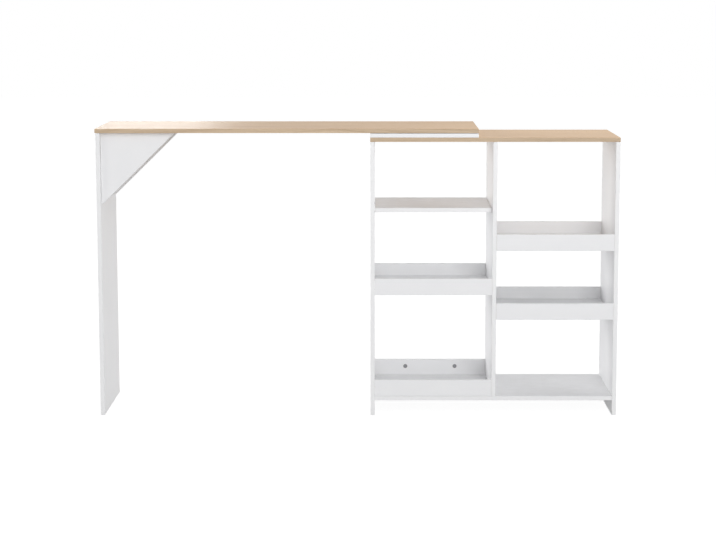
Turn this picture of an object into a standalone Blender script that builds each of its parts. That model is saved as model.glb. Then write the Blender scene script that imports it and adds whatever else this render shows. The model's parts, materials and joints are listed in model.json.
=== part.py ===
"""Swivel bar table: a leg-and-top table that turns on a storage unit of shelves and trays.

Metres, +Z up, +X to the right along the length, +Y to the back.
The origin is on the floor, under the middle of the whole length and depth.
"""
import math

import bmesh
import bpy
from mathutils import Matrix, Vector

# Overall sizes
TABLE_LENGTH = 1.380
TABLE_HEIGHT = 1.052
UNIT_LENGTH = 0.900
DEPTH = 0.390

# Board thicknesses and edges
TOP_THICKNESS = 0.015
BOARD = 0.015
SPACER_THICKNESS = 0.015
EDGE_BREAK = 0.0008

# Gaps: at rest between boards that touch, and round a fixing in its hole
SEAT = 0.0003
HOLE_GAP = 0.0003

# Table: a leg at the left end, braced by a front and a rear gusset
LEG_INSET = 0.003
GUSSET_RUN = 0.266
GUSSET_DROP = 0.261
GUSSET_SETBACK = 0.020
GUSSET_TIP = 0.006

# Storage unit: heights are those of the undersides above the floor
PANEL_INSET = 0.001
BASE_HEIGHT = 0.058
RAIL_HEIGHT = 0.060
UPPER_LEFT_SHELF_HEIGHT = 0.746
MIDDLE_LEFT_TRAY_HEIGHT = 0.4475
UPPER_RIGHT_TRAY_HEIGHT = 0.6095
LOWER_RIGHT_TRAY_HEIGHT = 0.3565
SHELF_RECESS = 0.045
SHELF_SIDE_GAP = 0.001

# Swivel: a bolt in a bush, with a slip ring let into the spacer board
SLIP_GAP = 0.0014
SLIP_RING_DIAMETER = 0.150
SLIP_RING_THICKNESS = 0.0025
PIVOT_DIAMETER = 0.010
PIVOT_HEAD_DIAMETER = 0.020
PIVOT_HEAD_HEIGHT = 0.0055
PIVOT_SOCKET_DEPTH = 0.0035
PIVOT_SOCKET_DIAMETER = 0.007
PIVOT_BITE = 0.010
BUSH_WALL = 0.002
WASHER_DIAMETER = 0.030
WASHER_THICKNESS = 0.002
INSERT_WALL = 0.0025
INSERT_FLANGE = 0.003
INSERT_FLANGE_THICKNESS = 0.0015
INSERT_LENGTH = 0.0115

# Cam fittings: a drum in one board draws in a bolt that is screwed into the other
CAM_DIAMETER = 0.015
CAM_FLOOR = 0.003
CAM_DISTANCE = 0.034
CAM_WALL = 0.0047
CAM_END_OFFSET = 0.055
CAM_BOLT_BITE = 0.010
CAM_BOLT_THREAD = 0.006
CAM_BOLT_SHANK = 0.0044
CAM_BOLT_HEAD = 0.0068
CAM_BOLT_HEAD_LENGTH = 0.0035
CAM_BOLT_BORE = 0.008
TRAY_CAM_OFFSET = 0.070
RAIL_CAM_SPACING = 0.190
GUSSET_CAM_OFFSET = 0.150

# Dowels, screws, shelf pins and nail-on glides
DOWEL_DIAMETER = 0.006
DOWEL_IN_FACE = 0.009
DOWEL_IN_EDGE = 0.016
RAIL_DOWEL_SPACING = 0.300
GUSSET_DOWEL_OFFSET = 0.080
SCREW_DIAMETER = 0.004
SCREW_HEAD_DIAMETER = 0.008
SCREW_BITE = 0.010
SPACER_SCREW_SPACING = 0.300
DIVIDER_SCREW_DIAMETER = 0.006
DIVIDER_SCREW_HEAD = 0.0095
DIVIDER_SCREW_BITE = 0.034
DIVIDER_SCREW_SPACING = 0.240
PIN_DIAMETER = 0.005
PIN_IN_PANEL = 0.008
PIN_UNDER_SHELF = 0.009
PIN_END_OFFSET = 0.040
GLIDE_DIAMETER = 0.013
GLIDE_HEIGHT = 0.0025
GLIDE_END_OFFSET = 0.040
NAIL_DIAMETER = 0.002
NAIL_LENGTH = 0.012

# Facets of round pieces
CAM_SIDES = 16
FIXING_SIDES = 8
PIVOT_SIDES = 32
RING_SIDES = 48

# Places that follow from the sizes
OVERALL_LENGTH = TABLE_LENGTH + UNIT_LENGTH - DEPTH
TABLE_LEFT = -OVERALL_LENGTH / 2
TABLE_RIGHT = TABLE_LEFT + TABLE_LENGTH
UNIT_RIGHT = OVERALL_LENGTH / 2
UNIT_LEFT = UNIT_RIGHT - UNIT_LENGTH
SWIVEL_X = (UNIT_LEFT + TABLE_RIGHT) / 2
FRONT = -DEPTH / 2
BACK = DEPTH / 2
TABLE_UNDER = TABLE_HEIGHT - TOP_THICKNESS
SPACER_TOP = TABLE_UNDER - SLIP_GAP
SPACER_UNDER = SPACER_TOP - SPACER_THICKNESS
UNIT_TOP = SPACER_UNDER - SEAT
UNIT_UNDER = UNIT_TOP - TOP_THICKNESS
PANEL_TOP = UNIT_UNDER - SEAT
LEG_TOP = TABLE_UNDER - SEAT
LEG_INNER = TABLE_LEFT + LEG_INSET + BOARD
PANEL_INNER_LEFT = UNIT_LEFT + PANEL_INSET + BOARD
PANEL_INNER_RIGHT = UNIT_RIGHT - PANEL_INSET - BOARD
UNIT_MIDDLE = (UNIT_LEFT + UNIT_RIGHT) / 2
DIVIDER_LEFT = UNIT_MIDDLE - BOARD / 2
DIVIDER_RIGHT = UNIT_MIDDLE + BOARD / 2
BASE_TOP = BASE_HEIGHT + BOARD
DIVIDER_FOOT = BASE_TOP + SEAT
LEFT_BAY = (PANEL_INNER_LEFT, DIVIDER_LEFT)
RIGHT_BAY = (DIVIDER_RIGHT, PANEL_INNER_RIGHT)
SWIVEL = Vector((SWIVEL_X, 0.0, TABLE_UNDER))
CAM_Y = DEPTH / 2 - CAM_END_OFFSET

RIGHT = Vector((1.0, 0.0, 0.0))
LEFT = -RIGHT
REAR = Vector((0.0, 1.0, 0.0))
FORE = -REAR
UP = Vector((0.0, 0.0, 1.0))
DOWN = -UP

# The front and back of what comes in pairs, as the sign of its Y, and likewise its left and right
ENDS = (("front", -1), ("rear", 1))
SIDES = (("left", -1), ("right", 1))

# Finishes: colour, roughness and how metallic
WHITE = ((0.80, 0.80, 0.80, 1.0), 0.45, 0.0)
OAK = ((0.60, 0.46, 0.33, 1.0), 0.50, 0.0)
ZINC = ((0.55, 0.55, 0.54, 1.0), 0.35, 1.0)
STEEL = ((0.45, 0.45, 0.46, 1.0), 0.35, 1.0)
BEECH = ((0.66, 0.50, 0.33, 1.0), 0.70, 0.0)
NYLON = ((0.86, 0.86, 0.83, 1.0), 0.40, 0.0)
GREY_PLASTIC = ((0.42, 0.42, 0.42, 1.0), 0.50, 0.0)


def clear_scene():
    """Remove the objects that the scene starts with."""
    for thing in list(bpy.data.objects):
        bpy.data.objects.remove(thing, do_unlink=True)


def new_collection(name):
    """Add a collection to the scene."""
    collection = bpy.data.collections.new(name)
    bpy.context.scene.collection.children.link(collection)
    return collection


def give_material(thing, colour, roughness, metallic):
    """Give an object its own Principled material."""
    material = bpy.data.materials.new(thing.name)
    material.use_nodes = True
    shader = material.node_tree.nodes["Principled BSDF"]
    shader.inputs["Base Color"].default_value = colour
    shader.inputs["Roughness"].default_value = roughness
    shader.inputs["Metallic"].default_value = metallic
    thing.data.materials.append(material)


def place(thing, parent, position):
    """Put an object at a world position, under the swivel's empty if it turns with the table."""
    if parent is None:
        thing.location = position
    else:
        thing.parent = parent
        thing.location = position - parent.location


def box_mesh(name, low, high):
    """Box mesh between two corners, about the middle of the box."""
    size = Vector(high) - Vector(low)
    mesh = bpy.data.meshes.new(name)
    shape = bmesh.new()
    bmesh.ops.create_cube(shape, size=1.0, matrix=Matrix.Diagonal((*size, 1.0)))
    shape.to_mesh(mesh)
    shape.free()
    return mesh


def break_edges(thing):
    """Take the sharp arris off a board's edges."""
    bevel = thing.modifiers.new("broken_edges", "BEVEL")
    bevel.width = min(EDGE_BREAK, BOARD / 4)
    bevel.segments = 1
    bevel.limit_method = "ANGLE"


def board(name, low, high, finish=WHITE, parent=None):
    """Rectangular board between two corners, with broken edges."""
    thing = bpy.data.objects.new(name, box_mesh(name, low, high))
    parts.objects.link(thing)
    place(thing, parent, (Vector(low) + Vector(high)) / 2)
    break_edges(thing)
    give_material(thing, *finish)
    return thing


def evaluated_mesh(thing, name):
    """Mesh of an object with its modifiers, or of a curve with its caps welded."""
    bpy.context.view_layer.update()
    seen = thing.evaluated_get(bpy.context.evaluated_depsgraph_get())
    mesh = bpy.data.meshes.new_from_object(seen)
    mesh.name = name
    return mesh


def turned_mesh(name, profile, sides):
    """Turn a profile of (radius, height) points round the Z axis, outer side from top to bottom."""
    mesh = bpy.data.meshes.new(name)
    shape = bmesh.new()
    points = [shape.verts.new((radius, 0.0, height)) for radius, height in profile]
    for start, end in zip(points, points[1:]):
        shape.edges.new((start, end))
    if profile[0][0] > 0.0:
        shape.edges.new((points[-1], points[0]))
    shape.to_mesh(mesh)
    shape.free()
    lathe = bpy.data.objects.new(name, mesh)
    guides.objects.link(lathe)
    screw = lathe.modifiers.new("turn", "SCREW")
    screw.axis = "Z"
    screw.steps = sides
    screw.render_steps = sides
    screw.use_merge_vertices = True
    screw.merge_threshold = 0.00001
    turned = evaluated_mesh(lathe, name)
    bpy.data.objects.remove(lathe, do_unlink=True)
    bpy.data.meshes.remove(mesh)
    return turned


def rod_mesh(name, radius, low, high, sides):
    """Plain rod along Z."""
    return turned_mesh(name, [(0.0, high), (radius, high), (radius, low), (0.0, low)], sides)


def ring_mesh(name, inner, outer, low, high, sides):
    """Plain ring along Z."""
    profile = [(outer, high), (outer, low), (inner, low), (inner, high)]
    return turned_mesh(name, profile, sides)


def pose(origin, z_axis, x_axis=None):
    """Matrix that puts a mesh at a point, with its Z along z_axis and its X along x_axis."""
    z_axis = Vector(z_axis).normalized()
    if x_axis is None:
        x_axis = UP if abs(z_axis.z) < 0.5 else RIGHT
    x_axis = Vector(x_axis).normalized()
    y_axis = z_axis.cross(x_axis)
    turn = Matrix((x_axis, y_axis, z_axis)).transposed().to_4x4()
    return Matrix.Translation(origin) @ turn


def joined_mesh(name, copies):
    """One mesh from (mesh, matrix) pairs, each copy a body of its own."""
    shape = bmesh.new()
    for mesh, matrix in copies:
        copy = mesh.copy()
        copy.transform(matrix)
        shape.from_mesh(copy)
        bpy.data.meshes.remove(copy)
    joined = bpy.data.meshes.new(name)
    shape.to_mesh(joined)
    shape.free()
    return joined


def round_piece(name, mesh, matrix, finish, parent=None):
    """Turned piece from a shared mesh, under the swivel's empty if it turns with the table."""
    thing = bpy.data.objects.new(name, mesh.copy())
    parts.objects.link(thing)
    if parent is None:
        thing.matrix_basis = matrix
    else:
        thing.parent = parent
        thing.matrix_basis = Matrix.Translation(-parent.location) @ matrix
    thing.data.shade_smooth()
    thing.data.set_sharp_from_angle(angle=math.radians(35))
    give_material(thing, *finish)
    return thing


def cut(thing, label, copies):
    """Cut a joined set of cutters, none of which cross each other, out of an object."""
    cutter = bpy.data.objects.new(f"{thing.name}_{label}", joined_mesh(label, copies))
    guides.objects.link(cutter)
    cutter.hide_render = True
    cutter.display_type = "WIRE"
    step = thing.modifiers.new(label, "BOOLEAN")
    step.operation = "DIFFERENCE"
    step.solver = "EXACT"
    step.object = cutter


class Fixings:
    """Puts in one body's fixings, and gathers the holes that each board needs.

    A cam or dowel given no name is only drilled for: its hole is there, and it isn't a piece.
    """

    def __init__(self, parent=None):
        self.parent = parent
        self.pockets = {}
        self.bores = {}

    def pocket(self, thing, mesh, matrix):
        self.pockets.setdefault(thing.name, []).append((mesh, matrix))

    def bore(self, thing, mesh, matrix):
        self.bores.setdefault(thing.name, []).append((mesh, matrix))

    def cam(self, host, mate, edge, into_mate, face, name=None):
        """Cam in the host's face, with its bolt drawn through the host's edge from the mate."""
        centre = edge - into_mate * CAM_DISTANCE + face * BOARD / 2
        drum_pose = pose(centre, face, into_mate)
        bolt_pose = pose(edge, into_mate)
        if name:
            round_piece(f"{name}_cam", cam_drum, drum_pose, ZINC, self.parent)
            round_piece(f"{name}_cam_bolt", cam_bolt, bolt_pose, STEEL, self.parent)
        self.pocket(host, cam_pocket, drum_pose)
        self.bore(host, cam_bolt_bore, bolt_pose)
        self.pocket(mate, cam_bolt_hole, bolt_pose)

    def dowel(self, host, mate, edge, into_mate, name=None):
        """Dowel from the host's edge into the mate's face."""
        dowel_pose = pose(edge, into_mate)
        if name:
            round_piece(name, dowel, dowel_pose, BEECH, self.parent)
        self.pocket(host, dowel_hole, dowel_pose)
        self.pocket(mate, dowel_hole, dowel_pose)

    def screw(self, name, mesh, hole, through, into, position):
        """Countersunk screw driven upwards through one board into another."""
        screw_pose = pose(position, UP)
        round_piece(name, mesh, screw_pose, ZINC, self.parent)
        self.pocket(through, hole, screw_pose)
        self.pocket(into, hole, screw_pose)

    def glides(self, name, panel, x):
        """Nail-on glides under an upright, near its front and its back."""
        for end, side in ENDS:
            foot = pose(Vector((x, side * (DEPTH / 2 - GLIDE_END_OFFSET), 0.0)), UP)
            round_piece(f"{name}_{end}_glide", glide, foot, GREY_PLASTIC, self.parent)
            self.pocket(panel, nail_hole, foot)

    def drill(self):
        """Cut every hole that was asked for."""
        for name, copies in self.pockets.items():
            cut(bpy.data.objects[name], "pockets", copies)
        for name, copies in self.bores.items():
            cut(bpy.data.objects[name], "bores", copies)


def cam_drum_mesh():
    """Cam drum: a capped cylinder, open at the side and below for the bolt's head."""
    radius = CAM_DIAMETER / 2
    depth = BOARD - CAM_FLOOR
    slot = CAM_BOLT_HEAD + 2 * HOLE_GAP
    drum = bpy.data.objects.new("cam_drum", rod_mesh("cam_drum", radius, -depth, 0.0, CAM_SIDES))
    guides.objects.link(drum)
    low = (CAM_WALL - radius, -slot / 2, -depth - CAM_FLOOR)
    high = (radius + CAM_WALL, slot / 2, -(BOARD - slot) / 2)
    slot_middle = (Vector(low) + Vector(high)) / 2
    cut(drum, "slot", [(box_mesh("slot", low, high), Matrix.Translation(slot_middle))])
    mesh = evaluated_mesh(drum, "cam_drum")
    bpy.data.objects.remove(guides.objects["cam_drum_slot"], do_unlink=True)
    bpy.data.objects.remove(drum, do_unlink=True)
    return mesh


def cam_bolt_mesh():
    """Cam bolt: thread in the mate above 0, shank below it and a head in the cam."""
    shank = CAM_BOLT_SHANK / 2
    head_end = -CAM_DISTANCE - CAM_BOLT_HEAD_LENGTH / 2
    profile = [
        (0.0, CAM_BOLT_BITE),
        (CAM_BOLT_THREAD / 2, CAM_BOLT_BITE),
        (CAM_BOLT_THREAD / 2, SEAT),
        (shank, SEAT),
        (shank, head_end + CAM_BOLT_HEAD_LENGTH),
        (CAM_BOLT_HEAD / 2, head_end + CAM_BOLT_HEAD_LENGTH),
        (CAM_BOLT_HEAD / 2, head_end),
        (0.0, head_end),
    ]
    return turned_mesh("cam_bolt", profile, FIXING_SIDES)


def screw_profile(diameter, head, length, gap):
    """Countersunk screw with its head's flat face at 0 and its point upwards."""
    shank = diameter / 2 + gap
    rim = head / 2 + gap
    low = -gap if gap else 0.0
    return [
        (0.0, length + gap),
        (shank * 0.35, length + gap),
        (shank, length - diameter),
        (shank, rim - shank),
        (rim, low),
        (0.0, low),
    ]


def glide_mesh():
    """Nail-on glide: a disc with a rounded foot, and its nail."""
    radius = GLIDE_DIAMETER / 2
    top = GLIDE_HEIGHT - SEAT
    profile = [
        (0.0, NAIL_LENGTH),
        (NAIL_DIAMETER / 2, NAIL_LENGTH),
        (NAIL_DIAMETER / 2, top),
        (radius, top),
        (radius, top / 2),
        (radius * 0.8, 0.0),
        (0.0, 0.0),
    ]
    return turned_mesh("glide", profile, CAM_SIDES)


def gusset(name, front_face, parent):
    """Triangular brace between the leg and the top, from its outline in the XZ plane."""
    left = LEG_INNER + SEAT
    top = LEG_TOP
    right = LEG_INNER + GUSSET_RUN
    bottom = TABLE_UNDER - GUSSET_DROP
    corners = [
        (left, top),
        (left, bottom),
        (left + GUSSET_TIP / 2, bottom),
        (right, top - GUSSET_TIP / 2),
        (right, top),
    ]
    curve = bpy.data.curves.new(name, "CURVE")
    curve.dimensions = "2D"
    curve.fill_mode = "BOTH"
    curve.extrude = BOARD / 2
    outline = curve.splines.new("POLY")
    outline.points.add(len(corners) - 1)
    for point, (x, z) in zip(outline.points, corners):
        point.co = (x - left, z - top, 0.0, 1.0)
    outline.use_cyclic_u = True
    drawn = bpy.data.objects.new(name, curve)
    guides.objects.link(drawn)
    mesh = evaluated_mesh(drawn, name)
    bpy.data.objects.remove(drawn, do_unlink=True)
    mesh.transform(Matrix.Rotation(math.radians(90), 4, "X"))
    shape = bmesh.new()
    shape.from_mesh(mesh)
    bmesh.ops.remove_doubles(shape, verts=shape.verts, dist=0.00001)
    bmesh.ops.recalc_face_normals(shape, faces=shape.faces)
    shape.to_mesh(mesh)
    shape.free()
    thing = bpy.data.objects.new(name, mesh)
    parts.objects.link(thing)
    place(thing, parent, Vector((left, front_face + BOARD / 2, top)))
    break_edges(thing)
    give_material(thing, *WHITE)
    return thing


def build_table(swivel):
    """The part that turns: oak top, leg and the two gussets, with their fixings."""
    top = board("table_top", (TABLE_LEFT, FRONT, TABLE_UNDER), (TABLE_RIGHT, BACK, TABLE_HEIGHT),
                OAK, swivel)
    leg = board("table_leg", (LEG_INNER - BOARD, FRONT, GLIDE_HEIGHT), (LEG_INNER, BACK, LEG_TOP),
                parent=swivel)
    front = gusset("front_gusset", FRONT + GUSSET_SETBACK, swivel)
    rear = gusset("rear_gusset", BACK - GUSSET_SETBACK - BOARD, swivel)

    fixings = Fixings(swivel)
    leg_x = LEG_INNER - BOARD / 2
    for end, side in ENDS:
        fixings.cam(leg, top, Vector((leg_x, side * CAM_Y, LEG_TOP)), UP, RIGHT, f"leg_{end}")
    fixings.dowel(leg, top, Vector((leg_x, 0.0, LEG_TOP)), UP, "leg_dowel")
    gusset_y = DEPTH / 2 - GUSSET_SETBACK - BOARD / 2
    left_edge = LEG_INNER + SEAT
    for brace, y, inward in ((front, -gusset_y, REAR), (rear, gusset_y, FORE)):
        top_seat = Vector((LEG_INNER + GUSSET_CAM_OFFSET, y, LEG_TOP))
        fixings.cam(brace, top, top_seat, UP, inward, brace.name)
        fixings.cam(brace, leg, Vector((left_edge, y, TABLE_UNDER - GUSSET_CAM_OFFSET)), LEFT, inward)
        fixings.dowel(brace, top, Vector((LEG_INNER + GUSSET_DOWEL_OFFSET, y, LEG_TOP)), UP)
        fixings.dowel(brace, leg, Vector((left_edge, y, TABLE_UNDER - GUSSET_DOWEL_OFFSET)), LEFT)
    fixings.glides("leg", leg, leg_x)
    fixings.drill()
    return top


def build_tray(name, bay, height, fixings, uprights):
    """Tray: a board between two uprights, with a rail along its front and back edges."""
    left, right = bay[0] + SEAT, bay[1] - SEAT
    middle = (left + right) / 2
    inner = DEPTH / 2 - BOARD
    tray = board(f"{name}_tray", (left, -inner + SEAT, height), (right, inner - SEAT, height + BOARD))
    front = board(f"{name}_front_rail", (left, FRONT, height), (right, -inner, height + RAIL_HEIGHT))
    back = board(f"{name}_back_rail", (left, inner, height), (right, BACK, height + RAIL_HEIGHT))
    mid_height = height + BOARD / 2
    for upright, edge, outward in ((uprights[0], left, LEFT), (uprights[1], right, RIGHT)):
        for side in (-1, 1):
            y = side * (inner - TRAY_CAM_OFFSET)
            fixings.cam(tray, upright, Vector((edge, y, mid_height)), outward, DOWN)
    for rail, y, outward in ((front, -inner + SEAT, FORE), (back, inner - SEAT, REAR)):
        for side in (-1, 1):
            x = middle + side * RAIL_DOWEL_SPACING / 2
            fixings.dowel(tray, rail, Vector((x, y, mid_height)), outward)


def build_bottom_rails(base, fixings):
    """Rails that stand on the base board in the left bay and make it a tray."""
    left, right = LEFT_BAY[0] + SEAT, LEFT_BAY[1] - SEAT
    middle = (left + right) / 2
    foot = BASE_TOP + SEAT
    inner = DEPTH / 2 - BOARD
    front = board("bottom_left_front_rail", (left, FRONT, foot), (right, -inner, foot + RAIL_HEIGHT))
    back = board("bottom_left_back_rail", (left, inner, foot), (right, BACK, foot + RAIL_HEIGHT))
    for rail, y, inward in ((front, -inner - BOARD / 2, REAR), (back, inner + BOARD / 2, FORE)):
        for hand, side in SIDES:
            seat = Vector((middle + side * RAIL_CAM_SPACING / 2, y, foot))
            fixings.cam(rail, base, seat, DOWN, inward, f"{rail.name}_{hand}")


def build_upper_left_shelf(left_panel, divider, fixings):
    """Plain shelf set back from the front, loose on four pins."""
    left, right = LEFT_BAY[0] + SHELF_SIDE_GAP, LEFT_BAY[1] - SHELF_SIDE_GAP
    shelf_front = FRONT + SHELF_RECESS
    low = (left, shelf_front, UPPER_LEFT_SHELF_HEIGHT)
    board("upper_left_shelf", low, (right, BACK, UPPER_LEFT_SHELF_HEIGHT + BOARD))
    pin_z = UPPER_LEFT_SHELF_HEIGHT - SEAT - PIN_DIAMETER / 2
    pin_ends = (("front", shelf_front + PIN_END_OFFSET), ("rear", BACK - PIN_END_OFFSET))
    for panel, face, inward in ((left_panel, LEFT_BAY[0], RIGHT), (divider, LEFT_BAY[1], LEFT)):
        for end, y in pin_ends:
            pin_pose = pose(Vector((face, y, pin_z)), inward)
            round_piece(f"{panel.name}_{end}_shelf_pin", shelf_pin, pin_pose, ZINC)
            fixings.pocket(panel, shelf_pin_hole, pin_pose)


def build_unit():
    """The part that stands still: uprights, base, top, trays and shelf, with their fixings."""
    top = board("unit_top", (UNIT_LEFT, FRONT, UNIT_UNDER), (UNIT_RIGHT, BACK, UNIT_TOP), OAK)
    left_panel = board("left_panel", (PANEL_INNER_LEFT - BOARD, FRONT, GLIDE_HEIGHT),
                       (PANEL_INNER_LEFT, BACK, PANEL_TOP))
    right_panel = board("right_panel", (PANEL_INNER_RIGHT, FRONT, GLIDE_HEIGHT),
                        (PANEL_INNER_RIGHT + BOARD, BACK, PANEL_TOP))
    divider = board("divider", (DIVIDER_LEFT, FRONT, DIVIDER_FOOT), (DIVIDER_RIGHT, BACK, PANEL_TOP))
    base_ends = (PANEL_INNER_LEFT + SEAT, PANEL_INNER_RIGHT - SEAT)
    base = board("base_board", (base_ends[0], FRONT, BASE_HEIGHT), (base_ends[1], BACK, BASE_TOP))
    half = DEPTH / 2
    spacer = board("swivel_spacer", (SWIVEL_X - half, FRONT, SPACER_UNDER),
                   (SWIVEL_X + half, BACK, SPACER_TOP))

    fixings = Fixings()
    left_x = PANEL_INNER_LEFT - BOARD / 2
    right_x = PANEL_INNER_RIGHT + BOARD / 2
    for upright, x, face in ((left_panel, left_x, RIGHT), (divider, UNIT_MIDDLE, LEFT),
                             (right_panel, right_x, LEFT)):
        for y in (-CAM_Y, CAM_Y):
            fixings.cam(upright, top, Vector((x, y, PANEL_TOP)), UP, face)
        fixings.dowel(upright, top, Vector((x, 0.0, PANEL_TOP)), UP)
    base_mid = BASE_HEIGHT + BOARD / 2
    for panel, edge, outward in ((left_panel, base_ends[0], LEFT), (right_panel, base_ends[1], RIGHT)):
        for y in (-CAM_Y, CAM_Y):
            fixings.cam(base, panel, Vector((edge, y, base_mid)), outward, DOWN)
        fixings.dowel(base, panel, Vector((edge, 0.0, base_mid)), outward)
    fixings.glides("left_panel", left_panel, left_x)
    fixings.glides("right_panel", right_panel, right_x)

    build_bottom_rails(base, fixings)
    build_tray("middle_left", LEFT_BAY, MIDDLE_LEFT_TRAY_HEIGHT, fixings, (left_panel, divider))
    build_tray("upper_right", RIGHT_BAY, UPPER_RIGHT_TRAY_HEIGHT, fixings, (divider, right_panel))
    build_tray("lower_right", RIGHT_BAY, LOWER_RIGHT_TRAY_HEIGHT, fixings, (divider, right_panel))
    build_upper_left_shelf(left_panel, divider, fixings)

    for end, side in ENDS:
        seat = Vector((UNIT_MIDDLE, side * DIVIDER_SCREW_SPACING / 2, BASE_HEIGHT))
        fixings.screw(f"divider_{end}_screw", divider_screw, divider_screw_hole, base, divider, seat)
        for hand, across in SIDES:
            seat = Vector((SWIVEL_X + across * SPACER_SCREW_SPACING / 2,
                           side * SPACER_SCREW_SPACING / 2, UNIT_UNDER))
            name = f"spacer_{end}_{hand}_screw"
            fixings.screw(name, spacer_screw, spacer_screw_hole, top, spacer, seat)
    fixings.drill()
    return top, spacer


def build_swivel(swivel, table_top, unit_top, spacer):
    """Pivot bolt, threaded insert, bush, washer and slip ring, all on the swivel's axis."""
    axis = Matrix.Translation((SWIVEL_X, 0.0, 0.0))
    shaft = PIVOT_DIAMETER / 2
    running = shaft + HOLE_GAP
    washer_top = UNIT_UNDER - SEAT
    head_top = washer_top - WASHER_THICKNESS - SEAT
    head_low = head_top - PIVOT_HEAD_HEIGHT
    head = PIVOT_HEAD_DIAMETER / 2
    bolt_profile = [
        (0.0, TABLE_UNDER + PIVOT_BITE),
        (shaft, TABLE_UNDER + PIVOT_BITE),
        (shaft, head_top),
        (head, head_top),
        (head, head_top - PIVOT_HEAD_HEIGHT * 0.3),
        (head * 0.85, head_low + PIVOT_HEAD_HEIGHT * 0.2),
        (head * 0.6, head_low),
        (0.0, head_low),
    ]
    bolt = turned_mesh("pivot_bolt", bolt_profile, PIVOT_SIDES)
    pivot_bolt = round_piece("pivot_bolt", bolt, axis, ZINC, swivel)
    socket = rod_mesh("socket", PIVOT_SOCKET_DIAMETER / 2, head_low - PIVOT_SOCKET_DEPTH,
                      head_low + PIVOT_SOCKET_DEPTH, 6)
    cut(pivot_bolt, "socket", [(socket, axis)])

    barrel = running + INSERT_WALL
    flange = barrel + INSERT_FLANGE
    insert_top = TABLE_UNDER + INSERT_LENGTH
    flange_top = TABLE_UNDER + INSERT_FLANGE_THICKNESS
    insert_profile = [
        (barrel, insert_top),
        (barrel, flange_top),
        (flange, flange_top),
        (flange, TABLE_UNDER),
        (running, TABLE_UNDER),
        (running, insert_top),
    ]
    insert = turned_mesh("pivot_insert", insert_profile, PIVOT_SIDES)
    round_piece("pivot_insert", insert, axis, ZINC, swivel)
    insert_pocket = turned_mesh("insert_pocket", [
        (0.0, insert_top + SEAT),
        (barrel + HOLE_GAP, insert_top + SEAT),
        (barrel + HOLE_GAP, flange_top + SEAT),
        (flange + HOLE_GAP, flange_top + SEAT),
        (flange + HOLE_GAP, TABLE_UNDER - SLIP_GAP),
        (0.0, TABLE_UNDER - SLIP_GAP),
    ], PIVOT_SIDES)
    cut(table_top, "insert_pocket", [(insert_pocket, axis)])

    ring = SLIP_RING_DIAMETER / 2
    ring_top = TABLE_UNDER - SEAT
    ring_low = ring_top - SLIP_RING_THICKNESS
    recess = ring_low - SEAT
    slip_ring = ring_mesh("slip_ring", running, ring, ring_low, ring_top, RING_SIDES)
    round_piece("slip_ring", slip_ring, axis, NYLON)
    bush_outer = running + BUSH_WALL
    bush = ring_mesh("pivot_bush", running, bush_outer, UNIT_UNDER, recess - SEAT, PIVOT_SIDES)
    round_piece("pivot_bush", bush, axis, NYLON)
    washer = ring_mesh("pivot_washer", running, WASHER_DIAMETER / 2, washer_top - WASHER_THICKNESS,
                       washer_top, PIVOT_SIDES)
    round_piece("pivot_washer", washer, axis, ZINC)
    bush_hole = rod_mesh("bush_hole", bush_outer + HOLE_GAP, UNIT_UNDER - BOARD, recess, PIVOT_SIDES)
    ring_recess = rod_mesh("ring_recess", ring + HOLE_GAP, recess, TABLE_UNDER, RING_SIDES)
    cut(unit_top, "bush_hole", [(bush_hole, axis)])
    cut(spacer, "bush_hole", [(bush_hole, axis)])
    cut(spacer, "ring_recess", [(ring_recess, axis)])


clear_scene()
parts = new_collection("swivel_bar_table")
guides = new_collection("cutters")

# Meshes that the fixings share
cam_drum = cam_drum_mesh()
cam_bolt = cam_bolt_mesh()
cam_pocket = rod_mesh("cam_pocket", CAM_DIAMETER / 2 + HOLE_GAP, CAM_FLOOR - BOARD - SEAT, BOARD, CAM_SIDES)
cam_bolt_bore = rod_mesh("cam_bolt_bore", CAM_BOLT_BORE / 2, -CAM_DISTANCE, BOARD, FIXING_SIDES)
cam_bolt_hole = rod_mesh("cam_bolt_hole", CAM_BOLT_THREAD / 2 + HOLE_GAP, -BOARD / 2,
                         CAM_BOLT_BITE + SEAT, FIXING_SIDES)
dowel = rod_mesh("dowel", DOWEL_DIAMETER / 2, -DOWEL_IN_EDGE, DOWEL_IN_FACE, FIXING_SIDES)
dowel_hole = rod_mesh("dowel_hole", DOWEL_DIAMETER / 2 + HOLE_GAP, -DOWEL_IN_EDGE - SEAT,
                      DOWEL_IN_FACE + SEAT, FIXING_SIDES)
spacer_screw_length = TOP_THICKNESS + SCREW_BITE
spacer_screw = turned_mesh("spacer_screw", screw_profile(
    SCREW_DIAMETER, SCREW_HEAD_DIAMETER, spacer_screw_length, 0.0), FIXING_SIDES)
spacer_screw_hole = turned_mesh("spacer_screw_hole", screw_profile(
    SCREW_DIAMETER, SCREW_HEAD_DIAMETER, spacer_screw_length, HOLE_GAP), FIXING_SIDES)
divider_screw_length = BOARD + DIVIDER_SCREW_BITE
divider_screw = turned_mesh("divider_screw", screw_profile(
    DIVIDER_SCREW_DIAMETER, DIVIDER_SCREW_HEAD, divider_screw_length, 0.0), FIXING_SIDES)
divider_screw_hole = turned_mesh("divider_screw_hole", screw_profile(
    DIVIDER_SCREW_DIAMETER, DIVIDER_SCREW_HEAD, divider_screw_length, HOLE_GAP), FIXING_SIDES)
shelf_pin = rod_mesh("shelf_pin", PIN_DIAMETER / 2, -PIN_IN_PANEL, PIN_UNDER_SHELF, CAM_SIDES)
shelf_pin_hole = rod_mesh("shelf_pin_hole", PIN_DIAMETER / 2 + HOLE_GAP, -PIN_IN_PANEL - SEAT,
                          PIN_UNDER_SHELF, CAM_SIDES)
glide = glide_mesh()
nail_hole = rod_mesh("nail_hole", NAIL_DIAMETER / 2 + HOLE_GAP, 0.0, NAIL_LENGTH + SEAT, FIXING_SIDES)

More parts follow.
